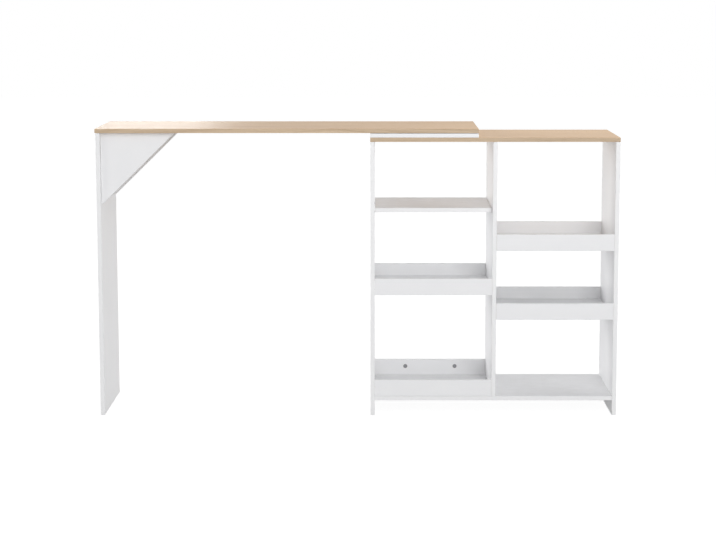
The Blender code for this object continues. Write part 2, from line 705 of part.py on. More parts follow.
swivel_empty = bpy.data.objects.new("swivel_axis", None)
swivel_empty.location = SWIVEL
parts.objects.link(swivel_empty)

oak_table_top = build_table(swivel_empty)
oak_unit_top, spacer_board = build_unit()
build_swivel(swivel_empty, oak_table_top, oak_unit_top, spacer_board)

for spare in (cam_drum, cam_bolt, cam_pocket, cam_bolt_bore, cam_bolt_hole, dowel, dowel_hole,
              spacer_screw, spacer_screw_hole, divider_screw, divider_screw_hole,
              shelf_pin, shelf_pin_hole, glide, nail_hole):
    bpy.data.meshes.remove(spare)
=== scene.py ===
import json
import math
from functools import partial

import bmesh
import bpy
from mathutils import Matrix, Vector


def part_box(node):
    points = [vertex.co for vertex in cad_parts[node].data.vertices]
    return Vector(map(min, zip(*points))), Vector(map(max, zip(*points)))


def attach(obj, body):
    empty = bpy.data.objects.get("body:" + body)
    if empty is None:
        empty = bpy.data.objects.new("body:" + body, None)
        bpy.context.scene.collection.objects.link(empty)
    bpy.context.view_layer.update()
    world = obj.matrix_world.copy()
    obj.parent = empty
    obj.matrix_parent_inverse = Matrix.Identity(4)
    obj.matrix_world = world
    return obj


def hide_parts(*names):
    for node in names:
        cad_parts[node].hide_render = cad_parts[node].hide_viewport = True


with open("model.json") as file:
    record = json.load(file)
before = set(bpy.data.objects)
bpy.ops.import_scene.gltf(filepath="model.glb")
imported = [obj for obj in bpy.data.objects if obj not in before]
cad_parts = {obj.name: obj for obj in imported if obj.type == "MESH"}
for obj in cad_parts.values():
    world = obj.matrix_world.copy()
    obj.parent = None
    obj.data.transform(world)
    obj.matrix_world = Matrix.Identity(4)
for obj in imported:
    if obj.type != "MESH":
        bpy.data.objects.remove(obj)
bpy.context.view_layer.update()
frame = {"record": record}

bodies = frame["record"]["behaviour"]["bodies"]
body_of = {node: body for body, nodes in bodies.items() for node in nodes}

# Base board of the storage unit, the first of the white boards: 15 mm chipboard faced with
# white melamine, with a plastic band glued to each edge that shows. It is cammed between the
# two side panels, clear of the floor.
BAND = 0.0010
GLUE_LINE = 0.00004
OUTER_ROUND = 0.0007
INNER_ROUND = 0.00015
TOUCHING = 1e-6
EDGE_ON = 0.1
FACE_SLOT, BAND_SLOT, RAW_SLOT = 0, 1, 2


def feed(tree, socket, entry):
    """Give an input a value, a colour without its alpha, or a link from another node's output."""
    if isinstance(entry, bpy.types.NodeSocket):
        tree.links.new(entry, socket)
    elif socket.type == "RGBA":
        socket.default_value = (*entry, 1.0)
    else:
        socket.default_value = entry


def add_node(tree, kind, inputs=None, **settings):
    """Add a node with its settings and its inputs' values or links, and give its outputs."""
    made = tree.nodes.new(kind)
    for key, value in settings.items():
        setattr(made, key, value)
    for key, entry in (inputs or {}).items():
        feed(tree, made.inputs[key], entry)
    return made.outputs


def maths(operation, first, second, kind="ShaderNodeMath"):
    """Reckon with two values or vectors, at least one of them another node's output."""
    tree = (first if isinstance(first, bpy.types.NodeSocket) else second).id_data
    return add_node(tree, kind, {0: first, 1: second}, operation=operation)[0]


# Sum, difference and product of two values
plus, minus, times = (partial(maths, operation) for operation in ("ADD", "SUBTRACT", "MULTIPLY"))


def stretch(source, low, high, to_low=0.0, to_high=1.0):
    """Map a value's range to another, held at both ends."""
    return add_node(source.id_data, "ShaderNodeMapRange", {
        "Value": source, "From Min": low, "From Max": high, "To Min": to_low, "To Max": to_high})[0]


def blend(factor, first, second):
    """Mix two colours, each a value or another node's output."""
    return add_node(factor.id_data, "ShaderNodeMix", {0: factor, 6: first, 7: second},
                    data_type="RGBA")[2]


def noise(vector, scale, detail, roughness=0.5, output="Fac"):
    """Fractal noise over a vector, as a value or a colour."""
    return add_node(vector.id_data, "ShaderNodeTexNoise", {
        "Vector": vector, "Scale": scale, "Detail": detail, "Roughness": roughness})[output]


def scaled(vector, scale, offset=(0.0, 0.0, 0.0)):
    """Vector scaled and moved by a Mapping node."""
    return add_node(vector.id_data, "ShaderNodeMapping", {
        "Vector": vector, "Scale": scale, "Location": offset})["Vector"]


def add_group(name, inputs, outputs):
    """Empty shader group with named inputs at these values, and the sockets of its two ends."""
    tree = bpy.data.node_groups.new(name, "ShaderNodeTree")
    for label, value in inputs.items():
        kind = "NodeSocketVector" if isinstance(value, tuple) else "NodeSocketFloat"
        tree.interface.new_socket(label, in_out="INPUT", socket_type=kind).default_value = value
    for label in outputs:
        tree.interface.new_socket(label, in_out="OUTPUT", socket_type="NodeSocketFloat")
    return tree, tree.nodes.new("NodeGroupInput").outputs, tree.nodes.new("NodeGroupOutput").inputs


# Wear group: where a rounded edge has been rubbed, in patches
edge_wear, given, result = add_group("edge_wear", {
    "Place": (0.0, 0.0, 0.0), "Arris": 0.0, "Patch Scale": 30.0, "Amount": 0.5}, ("Mask",))
patches = stretch(noise(given["Place"], given["Patch Scale"], 4.0), 0.46, 0.66)
feed(edge_wear, result["Mask"], times(times(patches, given["Arris"]), given["Amount"]))

# Dust group: a thin film on what faces up, and a little scuffing near the floor
settled_dust, given, result = add_group("settled_dust", {
    "Place": (0.0, 0.0, 0.0), "Facing": (0.0, 0.0, 1.0), "Speck Scale": 26.0, "Amount": 0.3}, ("Mask",))
height, facing = (add_node(settled_dust, "ShaderNodeSeparateXYZ", {0: given[label]})["Z"]
                  for label in ("Place", "Facing"))
film = maths("MAXIMUM", stretch(height, 0.0, 0.07, 1.0, 0.0), stretch(facing, 0.75, 1.0))
specks = stretch(noise(given["Place"], given["Speck Scale"], 5.0, 0.6), 0.35, 0.75)
feed(settled_dust, result["Mask"], times(times(film, specks), given["Amount"]))

# Pearl group: the fine pressed texture of melamine and moulded plastic
pearl_texture, given, result = add_group("pearl_texture", {
    "Place": (0.0, 0.0, 0.0), "Pearl Scale": 900.0}, ("Height", "Mottle"))
feed(pearl_texture, result["Height"], noise(given["Place"], given["Pearl Scale"], 1.0))
feed(pearl_texture, result["Mottle"], noise(given["Place"], 9.0, 4.0, 0.55))


def new_finish(name, constants=None):
    """New material with its shader's constants, its tree, and what its patterns are read from."""
    made = bpy.data.materials.new(name)
    made.use_nodes = True
    tree = made.node_tree
    for label, value in (constants or {}).items():
        feed(tree, tree.nodes["Principled BSDF"].inputs[label], value)
    return made, tree, add_node(tree, "ShaderNodeTexCoord")


def aged(tree, read, ground, patch_scale, wear, worn_colour, dust, dust_colour):
    """Rub a colour away along the rounded edges and lay dust on it. Gives it and the dust's mask."""
    arris = add_node(tree, "ShaderNodeAttribute", attribute_name="arris")
    rubbed = add_node(tree, "ShaderNodeGroup", {
        "Place": read["Object"], "Arris": arris["Fac"], "Patch Scale": patch_scale,
        "Amount": wear}, node_tree=edge_wear)["Mask"]
    dusty = add_node(tree, "ShaderNodeGroup", {
        "Place": read["Object"], "Facing": read["Normal"], "Amount": dust},
        node_tree=settled_dust)["Mask"]
    return blend(dusty, blend(rubbed, ground, worn_colour), dust_colour), dusty


def surface(tree, colour, roughness, height, strength, distance):
    """Lead colour, roughness and a height's relief into the material's shader."""
    relief = add_node(tree, "ShaderNodeBump", {
        "Strength": strength, "Distance": distance, "Height": height})["Normal"]
    for label, entry in (("Base Color", colour), ("Roughness", roughness), ("Normal", relief)):
        feed(tree, tree.nodes["Principled BSDF"].inputs[label], entry)


def moulded_finish(name, colour, tint, worn_colour, roughness, pearl_scale, bump, wear=0.3, dust=0.1):
    """Finish of melamine, edge band or moulded plastic: pearl texture, faint mottling, wear, dust."""
    made, tree, read = new_finish(name)
    pearl = add_node(tree, "ShaderNodeGroup", {
        "Place": read["Object"], "Pearl Scale": pearl_scale}, node_tree=pearl_texture)
    ground = blend(stretch(pearl["Mottle"], 0.3, 0.7), colour, tint)
    ground, film = aged(tree, read, ground, 34.0, wear, worn_colour, dust, (0.50, 0.48, 0.45))
    rough = stretch(pearl["Mottle"], 0.3, 0.7, roughness - 0.05, roughness + 0.05)
    surface(tree, ground, plus(rough, film), pearl["Height"], bump, 0.0002)
    return made


white_melamine = moulded_finish(
    "white_melamine", colour=(0.865, 0.865, 0.875), tint=(0.885, 0.885, 0.89),
    worn_colour=(0.70, 0.69, 0.68), roughness=0.42, pearl_scale=900.0, bump=0.25)
white_band = moulded_finish(
    "white_edge_band", colour=(0.88, 0.88, 0.885), tint=(0.90, 0.90, 0.90),
    worn_colour=(0.66, 0.65, 0.64), roughness=0.36, pearl_scale=1400.0, bump=0.15, wear=0.5)

# Raw chipboard, on edges that have no band and in the drilled holes
raw_chipboard, tree, read = new_finish("raw_chipboard")
chips = add_node(tree, "ShaderNodeTexVoronoi", {
    "Vector": scaled(read["Object"], (0.45, 0.45, 1.0)), "Scale": 420.0, "Randomness": 1.0})
chip_tone = add_node(tree, "ShaderNodeSeparateColor", {0: chips["Color"]})
surface(tree, blend(chip_tone[0], (0.34, 0.22, 0.12), (0.62, 0.47, 0.30)),
        stretch(chip_tone[1], 0.0, 1.0, 0.72, 0.95), chips["Distance"], 0.6, 0.0004)


def to_mesh(shape, name):
    """Turn a finished shape into a mesh."""
    mesh = bpy.data.meshes.new(name)
    shape.to_mesh(mesh)
    shape.free()
    return mesh


def add_slab(shape, low, high, outer_low, outer_high, slot):
    """Add a slab to a board, its edges rounded more on the board's outside than at a glue line."""
    slab = bmesh.new()
    sized = Matrix.Translation((low + high) / 2) @ Matrix.Diagonal((*(high - low), 1.0))
    bmesh.ops.create_cube(slab, size=1.0, matrix=sized)
    for face in slab.faces:
        face.material_index = slot

    def outside(face):
        middle = face.calc_center_median()
        return any(abs(middle[axis] - bound[axis]) < TOUCHING
                   for axis in range(3) for bound in (outer_low, outer_high))

    outer = [edge for edge in slab.edges if all(outside(face) for face in edge.link_faces)]
    inner = [edge for edge in slab.edges if edge not in outer]
    if inner:
        bmesh.ops.bevel(slab, geom=inner, offset=INNER_ROUND, segments=1, affect="EDGES")
    outer = [edge for edge in outer if edge.is_valid]
    if outer:
        bmesh.ops.bevel(slab, geom=outer, offset=OUTER_ROUND, segments=3, profile=0.5, affect="EDGES")
    piece = to_mesh(slab, "slab")
    shape.from_mesh(piece)
    bpy.data.meshes.remove(piece)


def new_object(name, data, materials=()):
    """Put a mesh with its materials, a lamp or a camera in the scene."""
    made = bpy.data.objects.new(name, data)
    bpy.context.scene.collection.objects.link(made)
    for material in materials:
        data.materials.append(material)
    return made


boards = {}


def banded_board(name, node, sides, face=white_melamine, band=white_band):
    """Board in a node's place: a core, and a band glued to each named side."""
    low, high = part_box(node)
    thin = min(range(3), key=lambda axis: high[axis] - low[axis])
    core_low, core_high = low.copy(), high.copy()
    shape = bmesh.new()
    for side in sides.split():
        axis = "xyz".index(side[1])
        band_low, band_high = core_low.copy(), core_high.copy()
        if side[0] == "-":
            band_high[axis] = core_low[axis] + BAND
            core_low[axis] = band_high[axis] + GLUE_LINE
        else:
            band_low[axis] = core_high[axis] - BAND
            core_high[axis] = band_low[axis] - GLUE_LINE
        add_slab(shape, band_low, band_high, low, high, BAND_SLOT)
    core_at = len(shape.faces)
    add_slab(shape, core_low, core_high, low, high, FACE_SLOT)
    shape.faces.ensure_lookup_table()
    for polygon in shape.faces[core_at:]:
        if abs(polygon.normal[thin]) < EDGE_ON:
            polygon.material_index = RAW_SLOT
    board = new_object(name, to_mesh(shape, name), (face, band, raw_chipboard))
    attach(board, body_of[node])
    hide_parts(node)
    boards[node] = board


banded_board("base_shelf", "base_board", "-y +y")

# Uprights of the storage unit: a left and a right side panel on the floor, and a divider that
# stands on the base board. Each is banded down its front and back edges, and the two that
# reach the floor along their feet as well.
for node, sides in (("left_panel", "-y +y -z"), ("right_panel", "-y +y -z"), ("divider", "-y +y")):
    banded_board(f"{node}_upright", node, sides)

# Rails of the left bay's bottom tray: two strips cammed on edge onto the base board, with a
# band along every edge that can be seen or touched.
for node in ("bottom_left_front_rail", "bottom_left_back_rail"):
    banded_board(f"{node}_strip", node, "+z")

# Three railed trays: a board cammed between two uprights, and a front and a back rail held to
# its long edges with dowels. The rails are banded along the top and the bottom.
for tray in ("middle_left", "upper_right", "lower_right"):
    banded_board(f"{tray}_tray_floor", f"{tray}_tray", "")
    for place in ("front", "back"):
        node = f"{tray}_{place}_rail"
        banded_board(f"{node}_strip", node, "+z -z")

# Plain shelf of the upper left bay, set back from the front and loose on four pins, with its
# front and back edges banded.
banded_board("plain_shelf", "upper_left_shelf", "-y +y")

# Spacer board of the swivel: a square of the same white board, as wide as the table is deep,
# screwed to the unit's top so that the long top turns clear of it.
banded_board("spacer_square", "swivel_spacer", "-y +y -x +x")

# Oak tops: chipboard faced with a light oak decor, matt, with the grain along the length, and
# banded all round in the same decor. The long one turns; the short one is the unit's own.
oak_grain, given, result = add_group("oak_grain", {
    "Decor": (0.0, 0.0, 0.0), "Growth Scale": 13.0}, ("Tone", "Fibre", "Pore"))
decor = given["Decor"]

# Each pattern is scaled by the metre, first along the grain and then across it
drift = noise(scaled(decor, (0.9, 5.0, 1.0)), 1.0, 3.0)
warp = noise(scaled(decor, (1.1, 2.6, 1.0)), 1.0, 2.0, output="Color")
warp = maths("MULTIPLY", warp, (0.0, 0.26, 0.0), "ShaderNodeVectorMath")
bent = maths("ADD", decor, warp, "ShaderNodeVectorMath")
rings = add_node(oak_grain, "ShaderNodeTexWave", {
    "Vector": scaled(bent, (0.10, 1.0, 1.0)), "Scale": given["Growth Scale"], "Distortion": 3.0,
    "Detail": 3.0, "Detail Scale": 1.8, "Detail Roughness": 0.6},
    wave_type="BANDS", bands_direction="Y", wave_profile="SIN")["Fac"]
fading = noise(scaled(decor, (2.4, 14.0, 1.0), (3.7, 1.9, 0.0)), 1.0, 2.0)
ring_line = times(stretch(rings, 0.45, 1.0), stretch(fading, 0.32, 0.62))
streaks = noise(scaled(bent, (1.7, 62.0, 1.0)), 1.0, 5.0, 0.64)
fibre = noise(scaled(decor, (5.0, 330.0, 1.0)), 1.0, 4.0, 0.6)
pore = stretch(noise(scaled(decor, (34.0, 900.0, 1.0)), 1.0, 1.0), 0.59, 0.70)
pore = times(pore, stretch(ring_line, 0.0, 0.7, 0.3, 1.0))
tone = times(drift, 0.42)
for pattern, share in ((streaks, 0.50), (fibre, 0.30), (ring_line, 0.17)):
    tone = plus(tone, times(pattern, share))
for label, pattern in (("Tone", tone), ("Fibre", fibre), ("Pore", pore)):
    feed(oak_grain, result[label], pattern)


def oak_finish(name, light, dark, wear):
    """Oak decor from the grain group, with wear on its rounded edges and a little dust."""
    made, tree, read = new_finish(name, {"Specular IOR Level": 0.3})
    decor_map = add_node(tree, "ShaderNodeUVMap", uv_map="decor")
    grain = add_node(tree, "ShaderNodeGroup", {"Decor": decor_map["UV"]}, node_tree=oak_grain)
    ground = blend(stretch(grain["Tone"], 0.44, 0.86), light, dark)
    ground = blend(times(grain["Pore"], 0.45), ground, (0.30, 0.19, 0.11))
    ground, film = aged(tree, read, ground, 26.0, wear, (0.62, 0.50, 0.37), 0.05, (0.55, 0.52, 0.48))
    rough = plus(stretch(grain["Fibre"], 0.3, 0.7, 0.36, 0.48), film)
    surface(tree, ground, rough, minus(grain["Fibre"], grain["Pore"]), 0.25, 0.0002)
    return made


oak_face = oak_finish("oak_decor", light=(0.72, 0.49, 0.282), dark=(0.55, 0.35, 0.183), wear=0.25)
oak_band = oak_finish("oak_edge_band", light=(0.66, 0.51, 0.355), dark=(0.50, 0.37, 0.245), wear=0.45)
for name, node in (("unit_oak_top", "unit_top"), ("table_oak_top", "table_top")):
    banded_board(name, node, "-y +y -x +x", oak_face, oak_band)

# Panel leg of the table: a white board on edge at the far end, cammed up into the long top,
# with its front, back and foot banded.
banded_board("panel_leg", "table_leg", "-y +y -z")

# Gussets: two triangles of white board that brace the leg under the long top, set back from
# its front and back edges. The sloping edge is rounded over with the foil wrapped round it; the
# square ones are sawn and butt.
GUSSET_TIP = 0.006
SOFT_EDGE = 0.005
SHARP = 1.0
for end in ("front", "rear"):
    node = f"{end}_gusset"
    low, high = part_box(node)
    outline = [(low.x, high.z), (low.x, low.z), (low.x + GUSSET_TIP / 2, low.z),
               (high.x, high.z - GUSSET_TIP / 2), (high.x, high.z)]
    shape = bmesh.new()
    near, far = ([shape.verts.new((x, y, z)) for x, z in outline] for y in (low.y, high.y))
    shape.faces.new(near)
    shape.faces.new(far[::-1])
    for index in range(len(outline)):
        after = (index + 1) % len(outline)
        side = shape.faces.new((near[after], near[index], far[index], far[after]))
        side.material_index = BAND_SLOT if index == 2 else RAW_SLOT
    bmesh.ops.recalc_face_normals(shape, faces=shape.faces)
    slope = [shape.edges.get((corners[2], corners[3])) for corners in (near, far)]
    bmesh.ops.bevel(shape, geom=slope, offset=SOFT_EDGE, segments=6, profile=0.5, affect="EDGES")
    square = [edge for edge in shape.edges if edge.calc_face_angle(0.0) > SHARP]
    bmesh.ops.bevel(shape, geom=square, offset=INNER_ROUND, segments=1, affect="EDGES")
    name = f"{end}_brace"
    brace = new_object(name, to_mesh(shape, name), (white_melamine, white_band, raw_chipboard))
    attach(brace, "table")
    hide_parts(node)
    boards[node] = brace

# Cams: a die-cast zinc drum let into the face of one board. A driver turns it by the cross in
# its cap, and it draws in the head of the bolt that is screwed into the other board.
CAM_RADIUS = 0.0075
CAM_DEPTH = 0.012
CAM_BACK = 0.034
CAP_SUNK = 0.0004
OVERCUT = 0.0006
MOUTH, MOUTH_OUT = (0.0120, 0.0050, 0.0052), 0.0045
HOLLOW = (0.0080, 0.0078, 0.0072)
HALF_BOARD = 0.0075
SLACK = 0.0003
BOLT_BITE = 0.010
BOLT_BORE, BITE_BORE = 0.004, 0.0033
CAM_OUT, TRAY_CAM_OUT, RAIL_CAM_OUT = 0.140, 0.110, 0.095
GUSSET_CAM = 0.150
SHORT = {"table": "table", "storage_unit": "unit"}
RIGHT, LEFT = Vector((1, 0, 0)), Vector((-1, 0, 0))
REAR, FORE = Vector((0, 1, 0)), Vector((0, -1, 0))
UP, DOWN = Vector((0, 0, 1)), Vector((0, 0, -1))
pockets, bores = {}, {}


def edge_at(node, way, **place):
    """Middle of the side of a node's box that faces a way, with any coordinate given instead."""
    low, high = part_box(node)
    point = Vector([(low[axis] + high[axis] + way[axis] * (high[axis] - low[axis])) / 2
                    for axis in range(3)])
    for letter, value in place.items():
        setattr(point, letter, value)
    return point


def drill(holes, node, start, along, radius, depth, mouth=None, sides=32):
    """Note a hole for a board, with a wider mouth where it is countersunk."""
    holes.setdefault(node, []).append((start, along, radius, depth, mouth or radius, sides))


def new_tree(name, sizes):
    """Geometry tree that takes places and named sizes and gives one mesh, and its sizes' sockets."""
    tree = bpy.data.node_groups.new(name, "GeometryNodeTree")
    tree.interface.new_socket("Places", in_out="INPUT", socket_type="NodeSocketGeometry")
    for label, value in sizes.items():
        socket = tree.interface.new_socket(label, in_out="INPUT", socket_type="NodeSocketFloat")
        socket.default_value = value
    tree.interface.new_socket("Mesh", in_out="OUTPUT", socket_type="NodeSocketGeometry")
    given = tree.nodes.new("NodeGroupInput").outputs
    return tree, *(given[label] for label in sizes)


def shifted(tree, solid, across=0.0, up=0.0):
    """Shape moved along X and up Z."""
    offset = add_node(tree, "ShaderNodeCombineXYZ", {"X": across, "Z": up})[0]
    return add_node(tree, "GeometryNodeTransform", {"Geometry": solid, "Translation": offset})[0]


def turned(tree, radius, start, length, sides=40, top=None):
    """Cylinder on the Z axis from a height up, or a cone where its top has another radius."""
    cone = add_node(tree, "GeometryNodeMeshCone", {
        "Vertices": sides, "Radius Bottom": radius, "Radius Top": radius if top is None else top,
        "Depth": length})["Mesh"]
    return shifted(tree, cone, up=start)


def bar(tree, size, across=0.0, up=0.0):
    """Square bar, for the arms of a recess."""
    return shifted(tree, add_node(tree, "GeometryNodeMeshCube", {"Size": size})[0], across, up)


def cross(tree, length, width, depth, hub, hub_depth):
    """Cutters for a driver's cross: two arms and a square hub."""
    return (bar(tree, (length, width, 2 * depth)), bar(tree, (width, length, 2 * depth)),
            bar(tree, (hub, hub, 2 * hub_depth)))


def joined(tree, *parts, body=None):
    """Several closed shapes as one solid, or the parts cut out of a body."""
    made = tree.nodes.new("GeometryNodeMeshBoolean")
    made.operation = "DIFFERENCE" if body else "UNION"
    made.solver = "EXACT"
    if body:
        feed(tree, made.inputs[0], body)
    for part in parts:
        feed(tree, made.inputs[1], part)
    return made.outputs[0]


def stand_each(tree, shape, finish):
    """End a tree: the shape at every place, its Z along "axis" and its X along "side"."""
    rotation = None
    for label, letter, pivot in (("axis", "Z", "AUTO"), ("side", "X", "Z")):
        named = add_node(tree, "GeometryNodeInputNamedAttribute", {"Name": label},
                         data_type="FLOAT_VECTOR")
        inputs = {"Vector": named[0]}
        if rotation:
            inputs["Rotation"] = rotation
        rotation = add_node(tree, "FunctionNodeAlignRotationToVector", inputs,
                            axis=letter, pivot_axis=pivot)[0]
    merged = add_node(tree, "GeometryNodeMergeByDistance", {0: shape, "Distance": 0.000005})
    spread = add_node(tree, "GeometryNodeInstanceOnPoints", {
        "Points": tree.nodes["Group Input"].outputs["Places"], "Instance": merged[0],
        "Rotation": rotation})
    real = add_node(tree, "GeometryNodeRealizeInstances", {0: spread[0]})
    dressed = add_node(tree, "GeometryNodeSetMaterial", {0: real[0], "Material": finish})
    add_node(tree, "NodeGroupOutput", {0: dressed[0]})


def make_plain(piece, modifier):
    """Turn what a piece's modifier gives into its own mesh, and take the modifier off."""
    shaped = piece.evaluated_get(bpy.context.evaluated_depsgraph_get())
    mesh = bpy.data.meshes.new_from_object(shaped)
    piece.modifiers.remove(modifier)
    first_mesh = piece.data
    piece.data = mesh
    bpy.data.meshes.remove(first_mesh)
    mesh.name = piece.name


def shade(mesh, crease):
    """Shade a mesh smooth, but for the edges sharper than an angle in degrees."""
    mesh.shade_smooth()
    mesh.set_sharp_from_angle(angle=math.radians(crease))


def fitted(name, body, tree, places, ending=None, start="", crease=40.0,
           sizes=None):
    """Run a fitting's tree over its places, as one plain mesh that rides on a body. It stands for
    the nodes on that body whose names have its start and ending."""
    points = bpy.data.meshes.new(f"{name}_places")
    points.from_pydata([place[0] for place in places], [], [])
    for index, label in ((1, "axis"), (2, "side")):
        layer = points.attributes.new(label, "FLOAT_VECTOR", "POINT")
        for point, place in enumerate(places):
            layer.data[point].vector = place[index]
    piece = new_object(name, points)
    modifier = piece.modifiers.new("fitting", "NODES")
    modifier.node_group = tree
    for item in tree.interface.items_tree:
        if item.in_out == "INPUT" and item.name in (sizes or {}):
            modifier[item.identifier] = sizes[item.name]
    make_plain(piece, modifier)
    shade(piece.data, crease)
    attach(piece, body)
    nodes = [node for node in bodies[body]
             if ending and node.startswith(start) and node.endswith(ending)]
    if nodes:
        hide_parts(*nodes)


def cast_finish(name, light, dark, roughness, scratch, bump):
    """Bright metal: plated mottling, fine scratches and a slight unevenness."""
    made, tree, read = new_finish(name, {"Metallic": 0.9})
    bloom = noise(read["Object"], 420.0, 4.0, 0.6)
    fleck = stretch(noise(scaled(read["Object"], (2600.0, 240.0, 700.0)), 1.0, 2.0), 0.60, 0.72)
    ground = blend(stretch(bloom, 0.3, 0.7), light, dark)
    ground = blend(times(fleck, scratch), ground, (0.80, 0.80, 0.79))
    rough = stretch(bloom, 0.3, 0.7, roughness - 0.08, roughness + 0.10)
    surface(tree, ground, plus(rough, times(fleck, 0.1)), bloom, bump, 0.0001)
    return made


cast_zinc = cast_finish("cast_zinc", light=(0.33, 0.33, 0.345), dark=(0.24, 0.24, 0.255),
                        roughness=0.50, scratch=0.35, bump=0.4)

cam_tree, radius, depth, rim, chamfer = new_tree("cam", {
    "Radius": CAM_RADIUS, "Depth": CAM_DEPTH, "Rim": 0.0011, "Chamfer": 0.0004})
bottom = times(depth, -1.0)
drum_height = minus(depth, chamfer)
drum = joined(
    cam_tree, turned(cam_tree, radius, bottom, drum_height, 48),
    turned(cam_tree, radius, plus(bottom, drum_height), chamfer, 48, top=minus(radius, chamfer)))
cam_shape = joined(
    cam_tree, turned(cam_tree, minus(radius, rim), -CAP_SUNK, CAP_SUNK + OVERCUT, 48),
    *cross(cam_tree, length=0.0074, width=0.0013, depth=0.0025, hub=0.0034, hub_depth=0.0028),
    bar(cam_tree, MOUTH, MOUTH_OUT, -HALF_BOARD), bar(cam_tree, HOLLOW, up=-HALF_BOARD), body=drum)
stand_each(cam_tree, cam_shape, cast_zinc)

# Where the cams go: host board, mating board, a point on the host's edge, the way into the
# mate, and the way that the face with the drum looks
leg_face = edge_at("table_leg", RIGHT).x
underside = edge_at("table_top", DOWN).z
table_cams = [("table_leg", "table_top", edge_at("table_leg", UP, y=side * CAM_OUT), UP, RIGHT)
              for side in (-1, 1)]
for node, inward in (("front_gusset", REAR), ("rear_gusset", FORE)):
    table_cams.append((node, "table_top", edge_at(node, UP, x=leg_face + GUSSET_CAM), UP, inward))
    table_cams.append((node, "table_leg", edge_at(node, LEFT, z=underside - GUSSET_CAM), LEFT, inward))
unit_cams = []
for side in (-1, 1):
    for node, inward in (("left_panel", RIGHT), ("divider", LEFT), ("right_panel", LEFT)):
        unit_cams.append((node, "unit_top", edge_at(node, UP, y=side * CAM_OUT), UP, inward))
    for node, left, right, out in (("base_board", "left_panel", "right_panel", CAM_OUT),
                                   ("middle_left_tray", "left_panel", "divider", TRAY_CAM_OUT),
                                   ("upper_right_tray", "divider", "right_panel", TRAY_CAM_OUT),
                                   ("lower_right_tray", "divider", "right_panel", TRAY_CAM_OUT)):
        for mate, into in ((left, LEFT), (right, RIGHT)):
            unit_cams.append((node, mate, edge_at(node, into, y=side * out), into, DOWN))
for node, inward in (("bottom_left_front_rail", REAR), ("bottom_left_back_rail", FORE)):
    for step in (-RAIL_CAM_OUT, RAIL_CAM_OUT):
        unit_cams.append((node, "base_board", edge_at(node, DOWN) + RIGHT * step, DOWN, inward))


def drum_place(edge, into, face):
    """Middle of a drum's cap, and the ways that the cap and the drum's mouth look."""
    return edge - into * CAM_BACK + face * HALF_BOARD, face, into


cams = {"table": table_cams, "storage_unit": unit_cams}
for body, joints in cams.items():
    for host, mate, edge, into, face in joints:
        cap = drum_place(edge, into, face)[0]
        drill(pockets, host, cap, -face, CAM_RADIUS + SLACK, CAM_DEPTH + SLACK)
        drill(bores, host, edge, -into, BOLT_BORE, CAM_BACK)
        drill(bores, mate, edge, into, BITE_BORE, BOLT_BITE + SLACK)
    fitted(f"{SHORT[body]}_cams", body, cam_tree, [drum_place(*cam[2:]) for cam in joints], "_cam")

# Cover caps: thin white plastic discs, each with a square peg pressed into the recess of a cam.
# They hide the cams at the tops of the storage unit's uprights, which face into the bays.
PEG, PEG_DOWN = (0.0024, 0.0024, 0.0026), 0.0010
white_plastic = moulded_finish(
    "white_plastic", colour=(0.87, 0.87, 0.875), tint=(0.89, 0.89, 0.89),
    worn_colour=(0.70, 0.69, 0.68), roughness=0.40, pearl_scale=1200.0, bump=0.15)
cap_tree, radius, thickness, bevel, lift = new_tree("cover_cap", {
    "Radius": 0.0086, "Edge": 0.0004, "Bevel": 0.0004, "Lift": 0.00003})
cap_shape = joined(
    cap_tree, turned(cap_tree, radius, lift, thickness),
    turned(cap_tree, radius, plus(thickness, lift), bevel, top=minus(radius, bevel)),
    bar(cap_tree, PEG, up=-PEG_DOWN))
stand_each(cap_tree, cap_shape, white_plastic)
fitted("cover_caps", "storage_unit", cap_tree,
       [drum_place(*cam[2:]) for cam in unit_cams if cam[1] == "unit_top"])

# Cam bolts: plain steel, with a coarse thread that is screwed into the mating board, a slim
# shank with a collar across the joint, and a round head that the cam takes hold of.
HEAD_LENGTH = 0.0035
COLLAR_RADIUS, COLLAR_START, COLLAR_LENGTH = 0.0030, -0.0016, 0.0014
CORE_RADIUS, TIP_RADIUS = 0.0024, 0.0018
THREAD_RADIUS, RIDGE, TURNS, THREADED = 0.0023, 0.0006, 6.0, 0.9
bare_steel = cast_finish("steel", light=(0.50, 0.50, 0.49), dark=(0.40, 0.40, 0.395),
                         roughness=0.42, scratch=0.35, bump=0.2)


def thread(tree, radius, ridge, length, turns):
    """Spiral ridge of a screw thread, up the Z axis."""
    spiral = add_node(tree, "GeometryNodeCurveSpiral", {
        "Resolution": 18, "Rotations": turns, "Start Radius": radius, "End Radius": radius,
        "Height": length})
    outline = add_node(tree, "GeometryNodeCurvePrimitiveCircle", {"Resolution": 4, "Radius": ridge})
    return add_node(tree, "GeometryNodeCurveToMesh", {
        "Curve": spiral[0], "Profile Curve": outline[0], "Fill Caps": True})[0]


bolt_tree, shank_radius, head_radius, head_length, reach, bite = new_tree("cam_bolt", {
    "Shank Radius": 0.0022, "Head Radius": 0.0034, "Head Length": HEAD_LENGTH,
    "Reach": CAM_BACK + HEAD_LENGTH / 2, "Bite": BOLT_BITE})
head_end = times(reach, -1.0)
bolt_shape = joined(
    bolt_tree, turned(bolt_tree, head_radius, head_end, head_length, 24),
    turned(bolt_tree, shank_radius, plus(head_end, head_length), minus(reach, head_length), 20),
    turned(bolt_tree, COLLAR_RADIUS, COLLAR_START, COLLAR_LENGTH, 20),
    turned(bolt_tree, CORE_RADIUS, 0.0, bite, 20, top=TIP_RADIUS),
    thread(bolt_tree, THREAD_RADIUS, RIDGE, times(bite, THREADED), TURNS))
stand_each(bolt_tree, bolt_shape, bare_steel)
for body, joints in cams.items():
    fitted(f"{SHORT[body]}_cam_bolts", body, bolt_tree,
           [cam[2:] for cam in joints], "_cam_bolt")

